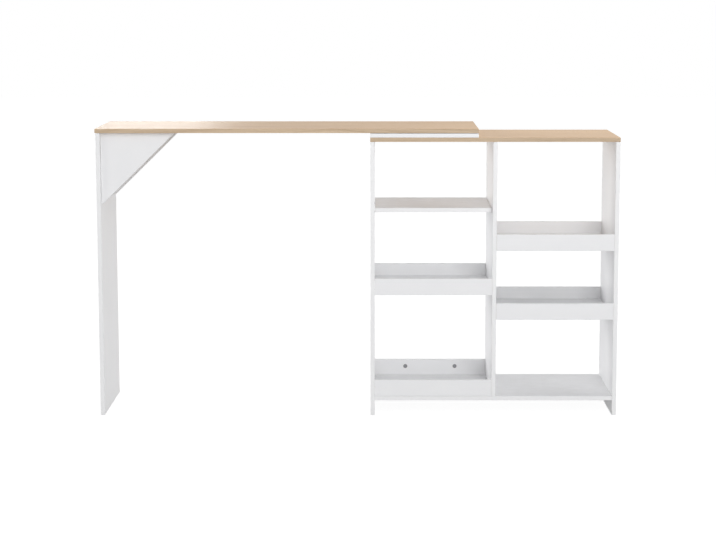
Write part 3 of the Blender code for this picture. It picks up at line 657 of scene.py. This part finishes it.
# Dowels: fluted beech, 6 by 25 mm with chamfered ends, glued into the edge of one board and
# pushed into the other, so that the boards can't slide on each other.
DOWEL_RADIUS = 0.003
DOWEL_IN, DOWEL_OUT = 0.016, 0.009
GUSSET_DOWEL, TRAY_DOWEL_OUT = 0.080, 0.150
beech, tree, read = new_finish("beech")
fibres = noise(scaled(read["Object"], (1500.0, 1500.0, 160.0)), 1.0, 3.0, 0.6)
surface(tree, blend(stretch(fibres, 0.3, 0.7), (0.60, 0.42, 0.24), (0.47, 0.30, 0.16)),
        stretch(fibres, 0.3, 0.7, 0.55, 0.75), fibres, 0.3, 0.0001)

dowel_tree, radius, flute_depth, inner, outer = new_tree("dowel", {
    "Radius": DOWEL_RADIUS, "Flute Depth": 0.0003, "In": DOWEL_IN, "Out": DOWEL_OUT})
spine_ends = {label: add_node(dowel_tree, "ShaderNodeCombineXYZ", {"Z": length})[0]
              for label, length in (("Start", times(inner, -1.0)), ("End", outer))}
spine = add_node(dowel_tree, "GeometryNodeCurvePrimitiveLine", spine_ends)
even = add_node(dowel_tree, "GeometryNodeResampleCurve", {"Curve": spine[0], "Count": 19})
along = add_node(dowel_tree, "GeometryNodeSplineParameter")["Factor"]
tapered = stretch(maths("MINIMUM", along, minus(1.0, along)), 0.0, 0.05, 0.8, 1.0)
flutes = add_node(dowel_tree, "GeometryNodeCurveStar", {
    "Points": 18, "Outer Radius": radius, "Inner Radius": minus(radius, flute_depth)})
swept = add_node(dowel_tree, "GeometryNodeCurveToMesh", {
    "Curve": even[0], "Profile Curve": flutes[0], "Scale": tapered, "Fill Caps": True})
stand_each(dowel_tree, swept[0], beech)

table_dowels = [("table_leg", "table_top", edge_at("table_leg", UP), UP, RIGHT)]
for node in ("front_gusset", "rear_gusset"):
    table_dowels.append((node, "table_top", edge_at(node, UP, x=leg_face + GUSSET_DOWEL), UP, RIGHT))
    table_dowels.append((node, "table_leg", edge_at(node, LEFT, z=underside - GUSSET_DOWEL), LEFT, UP))
unit_dowels = [(node, "unit_top", edge_at(node, UP), UP, RIGHT)
               for node in ("left_panel", "divider", "right_panel")]
for mate, into in (("left_panel", LEFT), ("right_panel", RIGHT)):
    unit_dowels.append(("base_board", mate, edge_at("base_board", into), into, UP))
for tray in ("middle_left", "upper_right", "lower_right"):
    for step in (-TRAY_DOWEL_OUT, TRAY_DOWEL_OUT):
        for place, out in (("front", FORE), ("back", REAR)):
            unit_dowels.append((f"{tray}_tray", f"{tray}_{place}_rail",
                                edge_at(f"{tray}_tray", out) + RIGHT * step, out, UP))
for body, dowels in (("table", table_dowels), ("storage_unit", unit_dowels)):
    for host, mate, edge, into, side in dowels:
        drill(bores, host, edge, -into, DOWEL_RADIUS + SLACK, DOWEL_IN + SLACK)
        drill(bores, mate, edge, into, DOWEL_RADIUS + SLACK, DOWEL_OUT + SLACK)
    fitted(f"{SHORT[body]}_dowels", body, dowel_tree, [dowel[2:] for dowel in dowels], "_dowel",
           crease=20.0)

# Countersunk screws, zinc plated with a cross recess: two up through the base board into the
# divider, and four shorter ones up through the unit's top into the spacer.
CORE_SHARE, STEM_SHARE, THREAD_SHARE = 0.74, 0.88, 0.95
HEAD_SLACK = 0.0001
DIVIDER_SCREW_OUT, SPACER_SCREW_OUT = 0.120, 0.150
long_screw = {"Shank Radius": 0.0030, "Head Radius": 0.00475, "Head Height": 0.0024,
              "Length": 0.049, "Turns": 14.0}
short_screw = {"Shank Radius": 0.0020, "Head Radius": 0.0040, "Head Height": 0.0022,
               "Length": 0.025, "Turns": 10.0}
zinc_plate = cast_finish("zinc_plated_steel", light=(0.62, 0.62, 0.60), dark=(0.50, 0.50, 0.50),
                         roughness=0.36, scratch=0.5, bump=0.3)
screw_tree, shank_radius, head_radius, head_height, length, turns = new_tree(
    "countersunk_screw", long_screw)
core_radius = times(shank_radius, CORE_SHARE)
ridge = times(shank_radius, 1 - CORE_SHARE)
stem = times(minus(length, head_height), STEM_SHARE)
stem_end = plus(stem, head_height)
recess = cross(screw_tree, length=0.0046, width=0.0009, depth=0.0016, hub=0.0019, hub_depth=0.0017)
head = joined(screw_tree, *recess,
              body=turned(screw_tree, head_radius, 0.0, head_height, top=core_radius))
threaded = thread(screw_tree, core_radius, ridge, times(stem, THREAD_SHARE), turns)
screw_shape = joined(
    screw_tree, head, shifted(screw_tree, threaded, up=head_height),
    turned(screw_tree, core_radius, head_height, stem, 20),
    turned(screw_tree, core_radius, stem_end, minus(length, stem_end), 20, top=0.0))
stand_each(screw_tree, screw_shape, zinc_plate)
divider_seats = [edge_at("base_board", DOWN, x=edge_at("divider", DOWN).x, y=side * DIVIDER_SCREW_OUT)
                 for side in (-1, 1)]
spacer_middle = edge_at("swivel_spacer", DOWN, z=edge_at("unit_top", DOWN).z)
spacer_seats = [spacer_middle + (RIGHT * across + REAR * side) * SPACER_SCREW_OUT
                for across in (-1, 1) for side in (-1, 1)]
for kind, screw, mouth, lower, upper, seats in (
        ("divider", long_screw, 0.0050, "base_board", "divider", divider_seats),
        ("spacer", short_screw, 0.0042, "unit_top", "swivel_spacer", spacer_seats)):
    fitted(f"{kind}_screws", "storage_unit", screw_tree, [(seat, UP, RIGHT) for seat in seats],
           "_screw", kind, sizes=screw)
    radius = screw["Shank Radius"] + SLACK
    for seat in seats:
        joint = edge_at(upper, DOWN).z - seat.z
        drill(pockets, lower, seat, UP, radius, screw["Head Height"] + HEAD_SLACK, mouth)
        drill(bores, lower, seat, UP, radius, joint)
        drill(bores, upper, seat + UP * joint, UP, radius, screw["Length"] - joint + SLACK)

# Shelf pins: steel pegs with a thin collar, pushed into holes in the left panel and the
# divider. The plain shelf rests on the half that stands out.
PIN_RADIUS, PIN_IN = 0.0025, 0.008
PIN_INSET = 0.040
DOME, DOME_SHARE = 0.0010, 0.75
COLLAR_LIFT, COLLAR_THICKNESS = 0.00005, 0.0007
pin_tree, radius, inner, outer, collar = new_tree("shelf_pin", {
    "Radius": PIN_RADIUS, "In": PIN_IN, "Out": 0.009, "Collar": 0.0035})
inner_end = times(inner, -1.0)
straight = minus(plus(inner, outer), DOME)
pin_shape = joined(
    pin_tree, turned(pin_tree, radius, inner_end, straight, 28),
    turned(pin_tree, radius, plus(inner_end, straight), DOME, 28, top=times(radius, DOME_SHARE)),
    turned(pin_tree, collar, COLLAR_LIFT, COLLAR_THICKNESS, 32))
stand_each(pin_tree, pin_shape, zinc_plate)
pins = []
shelf_low, shelf_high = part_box("upper_left_shelf")
for node, out in (("left_panel", RIGHT), ("divider", LEFT)):
    for deep in (shelf_low.y + PIN_INSET, shelf_high.y - PIN_INSET):
        pins.append((edge_at(node, out, y=deep, z=shelf_low.z - SLACK - PIN_RADIUS), out, UP))
        drill(bores, node, pins[-1][0], -out, PIN_RADIUS + SLACK, PIN_IN + SLACK)
fitted("shelf_pins", "storage_unit", pin_tree, pins, "_shelf_pin")

# Glides: grey plastic discs nailed to the feet of the two side panels and of the leg, so that
# the melamine stays off the floor.
NAIL_RADIUS, NAIL, SHAFT_SHARE = 0.0010, 0.0095, 0.8
GLIDE_INSET = 0.040
grey_plastic = moulded_finish(
    "grey_plastic", colour=(0.24, 0.24, 0.25), tint=(0.28, 0.28, 0.285),
    worn_colour=(0.42, 0.42, 0.42), roughness=0.5, pearl_scale=1100.0, bump=0.3, wear=0.4, dust=0.5)
glide_tree, radius, thickness, nail_radius, nail, chamfer = new_tree("glide", {
    "Radius": 0.0065, "Thickness": 0.0025, "Nail Radius": NAIL_RADIUS, "Nail": NAIL,
    "Chamfer": 0.0006})
shaft = times(nail, SHAFT_SHARE)
glide_shape = joined(
    glide_tree, turned(glide_tree, minus(radius, chamfer), 0.0, chamfer, 36, top=radius),
    turned(glide_tree, radius, chamfer, minus(thickness, chamfer), 36),
    turned(glide_tree, nail_radius, thickness, shaft, 14),
    turned(glide_tree, nail_radius, plus(thickness, shaft), times(nail, 1 - SHAFT_SHARE), 14, top=0.0))
stand_each(glide_tree, glide_shape, grey_plastic)
for body, feet in (("table", ("table_leg",)), ("storage_unit", ("left_panel", "right_panel"))):
    places = []
    for node in feet:
        low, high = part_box(node)
        for deep in (low.y + GLIDE_INSET, high.y - GLIDE_INSET):
            places.append((edge_at(node, DOWN, y=deep, z=0.0), UP, RIGHT))
            drill(bores, node, edge_at(node, DOWN, y=deep), UP, NAIL_RADIUS + SLACK, NAIL + SLACK)
    fitted(f"{SHORT[body]}_glides", body, glide_tree, places, "_glide")

# Swivel: a socket-head bolt passes up through a washer, a nylon bush in the unit's top and
# spacer, and a nylon ring let into the spacer. It ends in an insert, blind in the long top.
PROUD = 0.0005
BOLT_HOLE = 0.0053
WASHER_RADIUS, WASHER_THICKNESS = 0.0150, 0.0020
BUSH_RADIUS, BUSH_LENGTH = 0.0073, 0.0283
RING_RADIUS, RING_THICKNESS = 0.0750, 0.0025
GROOVE_RADII, GROOVE_DEPTH, RING_SIDES = (0.055, 0.030), 0.0003, 96
INSERT_RADIUS, INSERT_LENGTH, INSERT_PITCH = 0.0078, 0.0115, 0.0010
FLANGE_RADIUS, FLANGE = 0.0108, 0.0015
BOLT_RADIUS, BOLT_LENGTH, BOLT_PITCH = 0.0050, 0.0498, 0.0007
CAP_HEAD_RADIUS, CAP_HEAD = 0.0100, 0.0055
SOCKET_RADIUS, SOCKET_DEPTH = 0.0035, 0.0035
THREAD_DEPTH = 0.0005
THROUGH = 0.001
swivel = edge_at("pivot_bolt", DOWN)
nylon = moulded_finish(
    "nylon", colour=(0.78, 0.77, 0.72), tint=(0.82, 0.81, 0.77), worn_colour=(0.62, 0.60, 0.55),
    roughness=0.45, pearl_scale=700.0, bump=0.25)


def lathe(name, outline, node, finish=zinc_plate, sides=64):
    """Turn an outline of radius and height, from a node's underside up, about the swivel's axis."""
    base = edge_at(node, DOWN).z
    shape = bmesh.new()
    rings = []
    for radius, height in outline:
        if radius == 0.0:
            rings.append([shape.verts.new((swivel.x, swivel.y, base + height))] * sides)
            continue
        rings.append([shape.verts.new((swivel.x + radius * math.cos(math.tau * step / sides),
                                       swivel.y + radius * math.sin(math.tau * step / sides),
                                       base + height)) for step in range(sides)])
    after_rings = rings[1:] + rings[:1] if outline[0][0] > 0.0 else rings[1:]
    for low, high in zip(rings, after_rings):
        for step in range(sides):
            after = (step + 1) % sides
            corners = [low[step], low[after], high[after], high[step]]
            shape.faces.new(list(dict.fromkeys(corners)))
    bmesh.ops.recalc_face_normals(shape, faces=shape.faces)
    piece = new_object(name, to_mesh(shape, name), (finish,))
    shade(piece.data, 35.0)
    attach(piece, body_of[node])
    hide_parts(node)
    return piece


def ring_outline(radius, height, hole_bevel, bevel):
    """Outline of a ring round the bolt, with its edges bevelled."""
    points = [(BOLT_HOLE, hole_bevel), (BOLT_HOLE + hole_bevel, 0.0), (radius - bevel, 0.0),
              (radius, bevel), (radius, height - bevel), (radius - bevel, height),
              (BOLT_HOLE + hole_bevel, height), (BOLT_HOLE, height - hole_bevel)]
    return list(dict.fromkeys(points))


def ridges(radius, start, pitch, count):
    """Outline of a thread: from its full radius to its root and back, step by step."""
    return [(radius - THREAD_DEPTH * (step % 2), start + pitch * step) for step in range(count)]


lathe("swivel_washer", ring_outline(WASHER_RADIUS, WASHER_THICKNESS, 0.0002, 0.0003), "pivot_washer")
lathe("swivel_bush", ring_outline(BUSH_RADIUS, BUSH_LENGTH, 0.0, 0.0005), "pivot_bush", nylon)
ring = [(BOLT_HOLE, 0.0), (RING_RADIUS - 0.0004, 0.0), (RING_RADIUS, 0.0004),
        (RING_RADIUS, RING_THICKNESS - 0.0005), (RING_RADIUS - 0.0005, RING_THICKNESS)]
for groove in GROOVE_RADII:
    for out, down in ((0.0010, 0.0), (0.0005, GROOVE_DEPTH), (-0.0005, GROOVE_DEPTH), (-0.0010, 0.0)):
        ring.append((groove + out, RING_THICKNESS - down))
ring += [(BOLT_HOLE + 0.0007, RING_THICKNESS), (BOLT_HOLE, RING_THICKNESS - 0.0005)]
lathe("glide_ring", ring, "slip_ring", nylon, RING_SIDES)
insert = [(BOLT_HOLE, 0.0), (FLANGE_RADIUS - 0.0005, 0.0), (FLANGE_RADIUS, 0.0004),
          (FLANGE_RADIUS, FLANGE), *ridges(INSERT_RADIUS, FLANGE, INSERT_PITCH, 10),
          (INSERT_RADIUS - 0.0008, INSERT_LENGTH), (BOLT_HOLE, INSERT_LENGTH)]
lathe("threaded_insert", insert, "pivot_insert")
bolt = [(0.0, BOLT_LENGTH), (BOLT_RADIUS - 0.0008, BOLT_LENGTH),
        *ridges(BOLT_RADIUS, BOLT_LENGTH - 0.0008, -BOLT_PITCH, 12),
        (BOLT_RADIUS, BOLT_LENGTH - 0.0095), (BOLT_RADIUS, CAP_HEAD),
        (CAP_HEAD_RADIUS - 0.0003, CAP_HEAD), (CAP_HEAD_RADIUS, CAP_HEAD - 0.0004),
        (CAP_HEAD_RADIUS, 0.0010), (CAP_HEAD_RADIUS - 0.0010, 0.0), (0.0, 0.0)]
swivel_bolt = lathe("swivel_bolt", bolt, "pivot_bolt")


def cut_holes(piece, holes, slot=0):
    """Cut holes out of a piece, their walls in one of its material slots."""
    shape = bmesh.new()
    for start, along, radius, depth, mouth, sides in holes:
        turn = along.to_track_quat("Z", "Y").to_matrix().to_4x4()
        middle = Matrix.Translation(start + along * (depth - PROUD) / 2)
        outer = mouth + (mouth - radius) * PROUD / depth
        bmesh.ops.create_cone(shape, cap_ends=True, segments=sides, radius1=outer, radius2=radius,
                              depth=depth + PROUD, matrix=middle @ turn)
    for face in shape.faces:
        face.material_index = slot
    cutter = new_object("cutter", to_mesh(shape, "cutter"))
    boolean = piece.modifiers.new("drill", "BOOLEAN")
    boolean.operation = "DIFFERENCE"
    boolean.solver = "EXACT"
    boolean.material_mode = "INDEX"
    boolean.object = cutter
    make_plain(piece, boolean)
    cutter_mesh = cutter.data
    bpy.data.objects.remove(cutter)
    bpy.data.meshes.remove(cutter_mesh)


hexagon = {}
drill(hexagon, "pivot_bolt", swivel, UP, SOCKET_RADIUS, SOCKET_DEPTH, sides=6)
cut_holes(swivel_bolt, hexagon["pivot_bolt"])
for node in ("unit_top", "swivel_spacer"):
    start = swivel.copy()
    start.z = edge_at(node, DOWN).z
    drill(bores, node, start, UP, BUSH_RADIUS + SLACK, edge_at(node, UP).z - start.z + THROUGH)
spacer_top = edge_at("swivel_spacer", UP)
ring_pocket = spacer_top.z - edge_at("slip_ring", DOWN).z + SLACK
drill(pockets, "swivel_spacer", spacer_top, DOWN, RING_RADIUS + SLACK, ring_pocket, sides=RING_SIDES)
insert_foot = edge_at("pivot_insert", DOWN)
drill(pockets, "table_top", insert_foot, UP, FLANGE_RADIUS + SLACK, FLANGE + SLACK)
drill(bores, "table_top", insert_foot, UP, INSERT_RADIUS + SLACK, INSERT_LENGTH + SLACK)

# Drilling and decor: the boards come off the machine with a blind hole for every cam, bolt,
# dowel, pin, screw and nail, in raw chipboard. The decor on them runs along their length, and
# the unit's top is cut from another stretch of it than the long top.
DECOR_START = {"unit_top": 3.1}
FACE_SHIFT = 0.7
FLAT = 0.999
for holes in (pockets, bores):
    for node, entries in holes.items():
        cut_holes(boards[node], entries, RAW_SLOT)


def lay_decor(mesh, node, start):
    """Give a board its decor map, in metres with U along the grain, and mark its rounded edges."""
    low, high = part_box(node)
    along = max(range(3), key=lambda axis: round(high[axis] - low[axis], 4))
    mesh.uv_layers.new(name="decor")
    mesh.attributes.new("arris", "FLOAT", "FACE")
    layer, arris = mesh.uv_layers["decor"], mesh.attributes["arris"]
    for polygon in mesh.polygons:
        normal = [abs(value) for value in polygon.normal]
        drop = normal.index(max(normal))
        first = along if drop != along else (along + 1) % 3
        second = 3 - drop - first
        for loop in polygon.loop_indices:
            point = mesh.vertices[mesh.loops[loop].vertex_index].co
            layer.data[loop].uv = (point[first] + start, point[second] + drop * FACE_SHIFT + start)
        tilted = max(normal) < FLAT and polygon.material_index != RAW_SLOT
        arris.data[polygon.index].value = 1.0 if tilted else 0.0


for node, board in boards.items():
    lay_decor(board.data, node, DECOR_START.get(node, 0.0))

# Studio: a pale floor that keeps the table's shadow, and a white surround for what the camera
# and the glossy surfaces see. Six square soft lamps light the table from the front, the sides,
# the back and above, and a seventh lays a sheen on the far end of the long top alone.
FLOOR_HALF = 20.0
WHITE = (1.0, 1.0, 1.0)


def white_where_seen(tree, plain, white, end):
    """Show a white surface to rays from the camera and off or through glossy ones, else a plain one."""
    rays = add_node(tree, "ShaderNodeLightPath")
    seen = maths("MAXIMUM", rays["Is Camera Ray"], rays["Is Glossy Ray"])
    seen = maths("MAXIMUM", seen, rays["Is Transmission Ray"])
    choice = add_node(tree, "ShaderNodeMixShader", {0: seen, 1: plain[0], 2: white[0]})
    feed(tree, tree.nodes[end].inputs["Surface"], choice[0])


floor_shape = bmesh.new()
bmesh.ops.create_grid(floor_shape, x_segments=8, y_segments=8, size=FLOOR_HALF)
floor_finish, tree, read = new_finish("pale_floor", {
    "Base Color": (0.55, 0.55, 0.55), "Roughness": 0.9, "Specular IOR Level": 0.0})
shadowed = add_node(tree, "ShaderNodeBsdfDiffuse", {"Color": (0.18, 0.18, 0.18)})
glow = add_node(tree, "ShaderNodeEmission", {"Color": WHITE, "Strength": 0.94})
white_floor = add_node(tree, "ShaderNodeAddShader", {0: shadowed[0], 1: glow[0]})
white_where_seen(tree, tree.nodes["Principled BSDF"].outputs, white_floor, "Material Output")
new_object("floor", to_mesh(floor_shape, "floor"), (floor_finish,))

world = bpy.data.worlds.new("studio")
bpy.context.scene.world = world
world.use_nodes = True
tree = world.node_tree
ambient = tree.nodes["Background"]
ambient.inputs["Color"].default_value = (0.97, 0.98, 1.0, 1.0)
ambient.inputs["Strength"].default_value = 0.395
surround = add_node(tree, "ShaderNodeBackground", {"Color": WHITE, "Strength": 1.0})
white_where_seen(tree, ambient.outputs, surround, "World Output")


def soft_lamp(name, place, target, size, power):
    """Square area lamp at a place, turned to a target."""
    data = bpy.data.lights.new(name, "AREA")
    data.shape = "SQUARE"
    data.size = size
    data.energy = power
    lamp = new_object(name, data)
    lamp.location = place
    lamp.rotation_euler = (Vector(target) - Vector(place)).to_track_quat("-Z", "Y").to_euler()
    return lamp


table_middle, unit_surface, far_end = (0.0, 0.0, 0.55), (0.9, 0.0, 1.0), (-0.7, 0.0, 1.05)
soft_lamp("front_softbox", (1.4, -7.3, 1.1), table_middle, 3.2, 130.0)
soft_lamp("front_high_softbox", (0.9, -5.5, 4.0), table_middle, 3.0, 112.0)
soft_lamp("side_softbox", (-5.5, -4.0, 1.8), table_middle, 3.0, 52.0)
soft_lamp("back_left_softbox", (-5.0, 5.0, 1.5), table_middle, 2.8, 200.0)
soft_lamp("back_right_softbox", (5.0, 5.0, 1.5), table_middle, 2.8, 122.0)
soft_lamp("over_unit_softbox", (1.0, 0.0, 2.3), unit_surface, 0.9, 6.2)
sheen = soft_lamp("sheen_card", (-1.75, 4.2, 1.45), far_end, 1.7, 39.0)
sheen.visible_diffuse = False
sheen.visible_camera = False
receivers = bpy.data.collections.new("sheen_receivers")
receivers.objects.link(boards["table_top"])
sheen.light_linking.receiver_collection = receivers

# Camera at the photograph's place: a long lens a little above the top, tipped down, with the
# rest of the framing in its shift.
PITCH = 7.374
camera_data = bpy.data.cameras.new("camera")
camera_data.sensor_width = 36.0
camera_data.lens = 90.87
camera_data.shift_x = -0.0236
camera_data.shift_y = -0.06
camera = new_object("camera", camera_data)
camera.location = (0.0619, -6.6713, 1.5351)
camera.rotation_euler = (math.radians(90.0 - PITCH), 0.0, 0.0)
bpy.context.scene.camera = camera
bpy.context.scene.view_settings.view_transform = "Standard"
